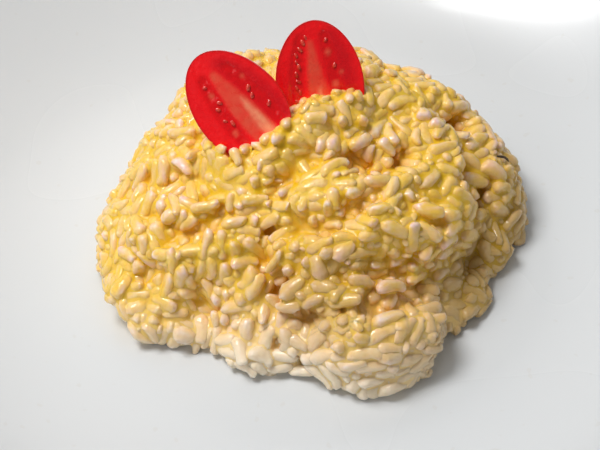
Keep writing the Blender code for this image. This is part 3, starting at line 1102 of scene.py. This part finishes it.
def sauce(recipe):
    place = recipe.place()
    deep = recipe.fit(recipe.attribute("depth"), 2.5, 8.5)
    swirl = recipe.fit(recipe.noise(place, 140.0, 3.0), 0.35, 0.65, 0.0, 0.4)
    film = recipe.math("ADD", recipe.attribute("film"), recipe.math("MULTIPLY", swirl, 0.5))
    shade = recipe.blend(recipe.fit(film, 0.0, 0.45), SAUCE_FILM, SAUCE_THIN)
    shade = recipe.blend(recipe.fit(film, 0.4, 1.1), shade, SAUCE_BRIGHT)
    shade = recipe.blend(deep, shade, SAUCE_DEEP)
    # painted shade darkens the sauce on the right flank and in the front hollow
    shade = recipe.blend(recipe.math("MULTIPLY", painted_flank_shade(recipe, place), 0.8), shade, SAUCE_PAINTED_SHADE)
    shade = recipe.blend(recipe.math("MULTIPLY", pale_front_foot(recipe, place), 0.75), shade, SAUCE_FOOT_PALE)
    damp = recipe.use(wet_surface, Place=place, Scale=700.0, Depth=0.2 * MM, Smoothest=0.34, Roughest=0.5)
    return {"Base Color": shade, **damp}


rice_finish = finish(
    "cooked_rice",
    rice,
    Subsurface_Weight=0.7,
    Subsurface_Scale=0.45 * MM,
    Subsurface_Radius=(0.8, 0.9, 0.9),
    IOR=1.33,
    Coat_Weight=0.6,
    Coat_Roughness=0.05,
)
sauce_finish = finish(
    "cheese_sauce",
    sauce,
    Subsurface_Weight=0.6,
    Subsurface_Scale=0.6 * MM,
    Subsurface_Radius=(0.8, 0.9, 0.7),
    IOR=1.33,
    Coat_Weight=0.25,
    Coat_Roughness=0.1,
)

# %% [markdown]
# ## From meshes to finished rice
#
# The sauce comes first, as the rice measures itself against it: every point of a grain is so many
# millimetres over the sauce, and its share of the grain's own height says whether it is golden or pale. A
# plain height would leave the low grains golden and the high ones white from end to end. Each kind of
# grain then becomes one piece, with its measures stored on its points, so the materials need no picture
# and no unwrapping.

# %% Finish the rice pieces
# a grain is golden up to one share of its height over the sauce, and pale from another,
# and one that stands lower than a few tenths of a millimetre over the sauce stays golden
GOLDEN_FROM = 0.42
GOLDEN_TO = 0.82
PALE_FROM = 1.0


def height_over_sauce(point):
    near, normal, _, _ = sauce_tree.find_nearest(point)
    return (point - near).dot(normal)


piece(sauce_mesh, "sauce_core", [sauce_finish], "risotto_mound")
for kind, kind_name in enumerate(kinds):
    points, faces, numbers = heap(kind)
    mesh = bpy.data.meshes.new("rice_" + kind_name)
    mesh.from_pydata(points.tolist(), [], faces)
    depths = [depth_and_normal(Vector(point), outline_tree)[0] / MM for point in points]
    above = np.array([height_over_sauce(Vector(point)) for point in points]) / MM
    tops = np.full(GRAINS, PALE_FROM)
    np.maximum.at(tops, numbers, above)
    share = above / tops[numbers]
    set_attribute(mesh, "depth", depths)
    set_attribute(mesh, "coat", ((GOLDEN_TO - share) / (GOLDEN_TO - GOLDEN_FROM)).clip(0, 1))
    set_attribute(mesh, "tone", tone[numbers])
    piece(mesh, "rice_" + kind_name, [rice_finish], "risotto_mound")

# %% [markdown]
# ## A shaving of pepper
#
# One dark shaving lies on the right flank. It could be painted on, but it would then follow every grain
# under it and look like a stain. It is a very thin grain instead, laid on the heap's skin between the two
# pixels that show its ends.

# %% Lay the shaving
FLECK_ENDS = ((494, 157), (508, 163))
# length, width, thickness, fullness of the ends, bend, taper
FLECK_SIZES = (4.6, 0.8, 0.5, 2.2, 0.5, 0.1)
FLECK_PROUD = 0.5
PEPPER_DARK = (0.035, 0.022, 0.010)
PEPPER_BROWN = (0.13, 0.075, 0.03)


def pepper(recipe):
    place = recipe.place()
    cloud = recipe.fit(recipe.noise(place, 1500.0, 3.0), 0.35, 0.65)
    damp = recipe.use(wet_surface, Place=place, Scale=3000.0, Depth=0.05 * MM, Smoothest=0.3, Roughest=0.5)
    return {"Base Color": recipe.blend(cloud, PEPPER_DARK, PEPPER_BROWN), **damp}


start, end = [seen(*pixel, [skin_tree])[0] for pixel in FLECK_ENDS]
along = (end - start).normalized()
depth, normal = depth_and_normal((start + end) / 2)
across = normal.cross(along).normalized()
turned_to = Matrix((across, along.cross(across), along)).transposed().to_4x4()
lifted = Matrix.Translation((start + end) / 2 + normal * (depth + FLECK_PROUD * MM))
fleck = grain(*FLECK_SIZES, casting=0)
bmesh.ops.transform(fleck, matrix=lifted @ turned_to, verts=fleck.verts)
piece(fleck, "pepper_shaving", [finish("pepper", pepper, IOR=1.4)], "risotto_mound")

# %% [markdown]
# ## The tomato halves
#
# A small plum tomato cut along its length shows four things: a thick wall, a firm core that pales towards
# the stem, two chambers of jelly beside it, and seeds in the jelly. The skin is half of the same turned
# egg as the solid. The cut face is a grid stretched to the egg's outline, with its lines closer near the
# rim, so that smooth shading rounds the cut edge. Each chamber is a chain of circles, sunk into the face
# and kept as a mask for the colours.

# %% Measure the tomato
TOMATO_LENGTH = 30.0
TOMATO_WIDTH = 21.7
TOMATO_TAPER = 0.08
FACE_ROWS = 60
FACE_COLUMNS = 48
SKIN_TURNS = 26
CHAMBER_DEPTH = 0.35
# how much closer the lines are near the cut edge, on the skin and on the face
SKIN_CROWDING = 0.11
FACE_CROWDING = 1.5
SEED_RADII = (0.46, 0.34, 0.72)
SEED_SIDES = 10
SEED_RINGS = 8
SEED_DEPTH = 0.26
# seeds slant away from the core, each by its own amount, in degrees
SEED_SLANT = 25
SEED_SLANT_SPREAD = 80
SEED_SIZE_SPREAD = 0.5
# where each half stands, as in the solid, and what its cut face shows: chains of (x, z, radius) and
# seeds (x, z)
TOMATOES = {
    "right": {
        "centre": (3.5, 10.5, 53.2),
        "lean": 30.0,
        "turn": 2.0,
        "tip": 5.0,
        "chambers": (
            ((-3.4, 10.6, 1.2), (-4.6, 6.0, 1.6), (-5.4, 1.0, 1.7), (-6.1, -4.0, 1.7), (-5.8, -9.0, 1.4)),
            ((2.4, 10.8, 1.1), (3.2, 6.0, 1.4), (3.6, 1.0, 1.5), (4.6, -4.0, 1.7), (4.8, -9.0, 1.3)),
        ),
        "core": ((-1.2, 9.6, 0.6), (-1.0, 5.3, 1.1), (-0.9, 0.3, 1.9), (-0.2, -4.8, 2.6), (0.4, -11.0, 3.0)),
        "pale": ((-0.2, -2.0, 0.2), (0.0, -5.0, 0.5), (0.0, -11.0, 1.2)),
        # painted shade: a darker red over the right side of the cut face
        "painted_shade_side": ((4.0, 11.0, 1.6), (5.6, 5.0, 2.6), (6.0, -1.0, 2.8), (6.2, -9.0, 2.6)),
        "seeds": (
            (-2.1, 11.1), (-2.9, 9.9), (-3.8, 8.3), (-4.9, 7.0), (-5.1, 5.3), (-4.6, 4.1), (-5.5, 2.3),
            (-5.2, 0.5), (-5.8, -1.0), (-5.1, -2.3), (-6.0, -4.4), (2.7, 9.9), (4.1, 3.4), (5.0, -3.6),
        ),
        "ghosts": ((2.9, 6.8, 0.7), (3.9, -1.3, 0.8), (5.6, 1.5, 0.5)),
    },
    "left": {
        "centre": (-16.7, 1.8, 54.5),
        "lean": 34.0,
        "turn": -6.0,
        "tip": 38.0,
        "chambers": (
            ((-2.6, 9.6, 1.2), (-3.5, 5.5, 1.7), (-4.2, 1.0, 1.8), (-4.6, -3.5, 1.7), (-4.8, -8.5, 1.3)),
            ((4.0, 8.5, 1.1), (4.9, 4.0, 1.5), (5.3, -0.5, 1.7), (6.2, -5.0, 1.5), (6.0, -9.0, 1.1)),
        ),
        "core": ((0.4, 8.9, 0.9), (0.4, 4.8, 1.6), (0.5, -0.5, 2.6), (0.7, -5.5, 2.9), (1.0, -10.0, 3.0)),
        "pale": ((1.9, 0.6, 0.1), (2.0, -1.5, 0.6), (2.0, -5.0, 0.9), (2.2, -10.0, 1.3)),
        # painted shade: a darker red over the right side of the cut face
        "painted_shade_side": ((3.6, 10.0, 2.0), (5.6, 4.0, 3.0), (6.6, -2.0, 3.2), (6.8, -8.0, 3.0)),
        "seeds": (
            (-3.3, 8.2), (-2.9, 3.2), (-4.3, 2.2), (-4.8, -1.0), (-3.7, -2.6), (4.9, 1.6), (4.4, -0.4),
            (6.3, -4.4),
        ),
        "ghosts": ((-3.4, 5.6, 0.6), (-4.9, -5.0, 0.7), (5.6, 4.6, 0.5)),
    },
}


def tomato_profile(turn):
    """Radius and height of the egg in millimetres, for a turn from 0 at its tip to pi."""
    radius = TOMATO_WIDTH / 2 * math.sin(turn) * (1 - TOMATO_TAPER * math.cos(turn))
    return max(0.0, radius), TOMATO_LENGTH / 2 * math.cos(turn)


def inside(chain, x, z):
    """How far a point is inside a chain of circles, in millimetres."""
    best = -99.0
    for (x0, z0, r0), (x1, z1, r1) in zip(chain, chain[1:]):
        length = (x1 - x0) ** 2 + (z1 - z0) ** 2
        along = min(1.0, max(0.0, ((x - x0) * (x1 - x0) + (z - z0) * (z1 - z0)) / length))
        away = math.hypot(x - x0 - along * (x1 - x0), z - z0 - along * (z1 - z0))
        best = max(best, r0 + along * (r1 - r0) - away)
    return best


def ease(value, low, high):
    """0 below low and 1 above high, smooth between."""
    share = min(1.0, max(0.0, (value - low) / (high - low)))
    return share * share * (3 - 2 * share)


def tomato_place(stand):
    """The matrix that stands a half where its solid is."""
    tip = Matrix.Rotation(-math.radians(stand["tip"]), 4, "Y")
    turn = Matrix.Rotation(math.radians(stand["turn"]), 4, "Z")
    lean = Matrix.Rotation(-math.radians(stand["lean"]), 4, "X")
    return Matrix.Translation(Vector(stand["centre"]) * MM) @ lean @ turn @ tip


# %% Cut the halves open
def cut_half(stand):
    """A tomato half in its own axes: the cut face looks along -Y. Faces 0 are skin, 1 flesh and 2 seeds."""
    bm = bmesh.new()
    masks = {name: bm.verts.layers.float.new(name) for name in ("jelly", "core", "pale", "rim", "painted_shade_side")}
    skin = bmesh.ops.create_grid(bm, x_segments=SKIN_TURNS, y_segments=FACE_ROWS, size=1.0)["verts"]
    for vert in skin:
        share, (radius, height) = (vert.co.x + 1) / 2, tomato_profile(math.pi * (1 - vert.co.y) / 2)
        turn = math.pi * (share - SKIN_CROWDING * math.sin(2 * math.pi * share))
        vert.co = Vector((radius * math.cos(turn), radius * math.sin(turn), height)) * MM
    face = bmesh.ops.create_grid(bm, x_segments=FACE_COLUMNS, y_segments=FACE_ROWS, size=1.0)["verts"]
    for vert in face:
        radius, height = tomato_profile(math.pi * (1 - vert.co.y) / 2)
        spread = math.copysign(1 - (1 - abs(vert.co.x)) ** FACE_CROWDING, vert.co.x)
        x = radius * spread
        jelly = max(ease(inside(chain, x, height), -0.7, 0.6) for chain in stand["chambers"])
        swell = noise.noise(Vector((x * 0.9, height * 0.9, 5.0)))
        swell += 0.5 * noise.noise(Vector((x * 2.1, height * 2.1, 9.0)))
        core = ease(inside(stand["core"], x, height), -0.7, 0.5)
        dished = (0.1 + 0.07 * swell) * ease(radius - abs(x), 0.1, 0.8)
        sink = jelly * (CHAMBER_DEPTH - 0.3 * swell) + (1 - jelly) * dished
        vert.co = Vector((x, max(0.0, sink), height)) * MM
        vert[masks["jelly"]] = jelly
        vert[masks["core"]] = core
        ghost = max(ease(r - math.hypot(x - gx, height - gz), -0.5, 0.5) for gx, gz, r in stand["ghosts"])
        vert[masks["pale"]] = max(ease(inside(stand["pale"], x, height), -0.8, 0.6), 0.35 * ghost)
        # painted shade on the right side of the cut face
        vert[masks["painted_shade_side"]] = ease(inside(stand["painted_shade_side"], x, height), -1.6, 1.6)
        vert[masks["rim"]] = 1 - ease(radius - abs(x), 0.15, 0.6)
    for vert in face:
        for part in vert.link_faces:
            part.material_index = 1
    bmesh.ops.remove_doubles(bm, verts=bm.verts, dist=0.004 * MM)
    bmesh.ops.recalc_face_normals(bm, faces=bm.faces)
    for number, (x, z) in enumerate(stand["seeds"]):
        slant = noise.noise(Vector((x, z, number))) * SEED_SLANT_SPREAD
        slant = math.radians(slant + (SEED_SLANT if x > 0 else -SEED_SLANT))
        size = 1 + SEED_SIZE_SPREAD * noise.noise(Vector((z, x, number * 1.7)))
        stand_seed = Matrix.Translation(Vector((x, SEED_DEPTH, z)) * MM) @ Matrix.Rotation(slant, 4, "Y")
        stand_seed = stand_seed @ Matrix.Diagonal((*[r * size * MM for r in SEED_RADII], 1))
        made = bmesh.ops.create_uvsphere(
            bm, u_segments=SEED_SIDES, v_segments=SEED_RINGS, radius=1.0, matrix=stand_seed
        )
        for vert in made["verts"]:
            for part in vert.link_faces:
                part.material_index = 2
    return bm


# %% [markdown]
# ## The colours of a tomato
#
# The flesh is wet and nearly pure red, and the jelly in the chambers is darker, clearer and glossier. The
# core fades from red to a pale orange at the stem end. The right side of each cut face carries painted
# shade, a darker red. All of it is one material that reads the masks of the cut face.

# %% Colour the tomato
FLESH_RED = (0.98, 0.006, 0.010)
FLESH_DARK = (0.92, 0.004, 0.009)
# painted shade, the red of the cut face's shaded right side
SHADE_PAINTED_RED = (0.64, 0.002, 0.008)
JELLY_RED = (0.74, 0.003, 0.006)
CORE_RED = (0.82, 0.085, 0.045)
CORE_PALE = (0.96, 0.36, 0.19)
RIM_RED = (0.60, 0.006, 0.006)
SKIN_RED = (0.72, 0.012, 0.008)
SKIN_BRIGHT = (0.84, 0.03, 0.012)
SKIN_SPECK = (0.95, 0.3, 0.08)
SEED_PALE = (0.80, 0.07, 0.035)
SEED_RED = (0.62, 0.012, 0.010)


def flesh(recipe):
    place = recipe.place()
    cloud = recipe.fit(recipe.noise(place, 160.0, 3.0), 0.35, 0.65)
    shade = recipe.blend(cloud, FLESH_RED, FLESH_DARK)
    # painted shade darkens the right side of the cut face
    shade = recipe.blend(recipe.math("MULTIPLY", recipe.attribute("painted_shade_side"), 0.85), shade, SHADE_PAINTED_RED)
    jelly = recipe.attribute("jelly")
    shade = recipe.blend(recipe.math("MULTIPLY", jelly, 0.8), shade, JELLY_RED)
    fibres = recipe.fit(recipe.noise(place, 420.0, 3.0), 0.35, 0.65, 0.55, 0.95)
    shade = recipe.blend(recipe.math("MULTIPLY", recipe.attribute("core"), fibres), shade, CORE_RED)
    shade = recipe.blend(recipe.math("MULTIPLY", recipe.attribute("pale"), fibres), shade, CORE_PALE)
    shade = recipe.blend(recipe.math("MULTIPLY", recipe.attribute("rim"), 0.6), shade, RIM_RED)
    damp = recipe.use(wet_surface, Place=place, Scale=1300.0, Depth=0.14 * MM, Smoothest=0.2, Roughest=0.42)
    glassy = recipe.fit(jelly, 0.0, 1.0, 1.0, 0.3)
    return {
        "Base Color": shade,
        "Roughness": recipe.math("MULTIPLY", damp["Roughness"], glassy),
        "Normal": damp["Normal"],
    }


def tomato_skin(recipe):
    place = recipe.place()
    cloud = recipe.fit(recipe.noise(place, 120.0, 3.0), 0.35, 0.65)
    speck = recipe.fit(recipe.noise(place, 900.0, 0.0), 0.7, 0.78)
    shade = recipe.blend(cloud, SKIN_RED, SKIN_BRIGHT)
    return {
        "Base Color": recipe.blend(recipe.math("MULTIPLY", speck, 0.35), shade, SKIN_SPECK),
        "Roughness": recipe.fit(recipe.noise(place, 300.0, 2.0), 0.3, 0.7, 0.1, 0.2),
        "Normal": recipe.bump(recipe.noise(place, 700.0, 1.0), 0.04 * MM, 0.4),
    }


def seed(recipe):
    place = recipe.place()
    cloud = recipe.fit(recipe.noise(place, 900.0, 2.0), 0.35, 0.65)
    damp = recipe.use(wet_surface, Place=place, Scale=3500.0, Depth=0.05 * MM, Smoothest=0.16, Roughest=0.4)
    return {"Base Color": recipe.blend(cloud, SEED_PALE, SEED_RED), **damp}


tomato_finishes = [
    finish("tomato_skin", tomato_skin, IOR=1.4, Coat_Weight=0.15, Coat_Roughness=0.1),
    finish("tomato_flesh", flesh, IOR=1.33, Coat_Weight=0.35, Coat_Roughness=0.06),
    finish("tomato_seed", seed, IOR=1.45, Coat_Weight=1.0, Coat_Roughness=0.04),
]
for side, stand in TOMATOES.items():
    half = cut_half(stand)
    bmesh.ops.transform(half, matrix=tomato_place(stand), verts=half.verts)
    piece(half, "tomato_cut_" + side, tomato_finishes, "tomato_half_" + side)

# %% [markdown]
# ## The room
#
# The food stands in daylight. Its left side is bright, its right side is in shade, and small glints sit
# on the wet grains. A large window would be too soft for the glints and a lamp too hard for the shadow,
# so the window is a square of 20 cm, high on the left. Two weak lights, behind and in front, and an even
# white world stand for the light that a room sends back.

# %% Floor and light
FLOOR_SIZE = 3.0
AIM_HEIGHT = 20.0
ROOM_LIGHT = 0.2

floor_bm = bmesh.new()
bmesh.ops.create_grid(floor_bm, x_segments=2, y_segments=2, size=FLOOR_SIZE)
floor_mesh = bpy.data.meshes.new("floor")
floor_bm.to_mesh(floor_mesh)
floor_bm.free()
floor = bpy.data.objects.new("floor", floor_mesh)
bpy.context.scene.collection.objects.link(floor)


def paper(recipe):
    cloud = recipe.noise(recipe.place(), 3.0)
    return {"Base Color": recipe.blend(cloud, (0.80, 0.80, 0.80), (0.84, 0.84, 0.83))}


floor_mesh.materials.append(finish("pale_floor", paper, Roughness=0.6))


def softbox(name, azimuth, elevation, distance, size, power):
    """A square white light that looks at the food from an azimuth (0 is +X, 90 the back) and elevation."""
    turn, rise = math.radians(azimuth), math.radians(elevation)
    way = Vector((math.cos(turn) * math.cos(rise), math.sin(turn) * math.cos(rise), math.sin(rise)))
    data = bpy.data.lights.new(name, "AREA")
    data.shape = "SQUARE"
    data.size = size
    data.energy = power
    made = bpy.data.objects.new(name, data)
    bpy.context.scene.collection.objects.link(made)
    aim_at = Vector((0, 0, AIM_HEIGHT)) * MM
    towards = (-way).to_track_quat("-Z", "Y").to_matrix().to_4x4()
    made.matrix_world = Matrix.Translation(aim_at + way * distance) @ towards


# azimuth and elevation in degrees, distance and size in metres, power in watts
softbox("window", 172, 68, 0.55, 0.2, 2.4)
softbox("back_window", 96, 40, 0.7, 0.5, 0.7)
softbox("front_fill", 222, 34, 0.55, 0.3, 0.27)
world = bpy.data.worlds.new("room")
bpy.context.scene.world = world
world.use_nodes = True
world.node_tree.nodes["Background"].inputs["Color"].default_value = (1.0, 1.0, 1.0, 1.0)
world.node_tree.nodes["Background"].inputs["Strength"].default_value = ROOM_LIGHT
bpy.context.scene.view_settings.view_transform = "Standard"
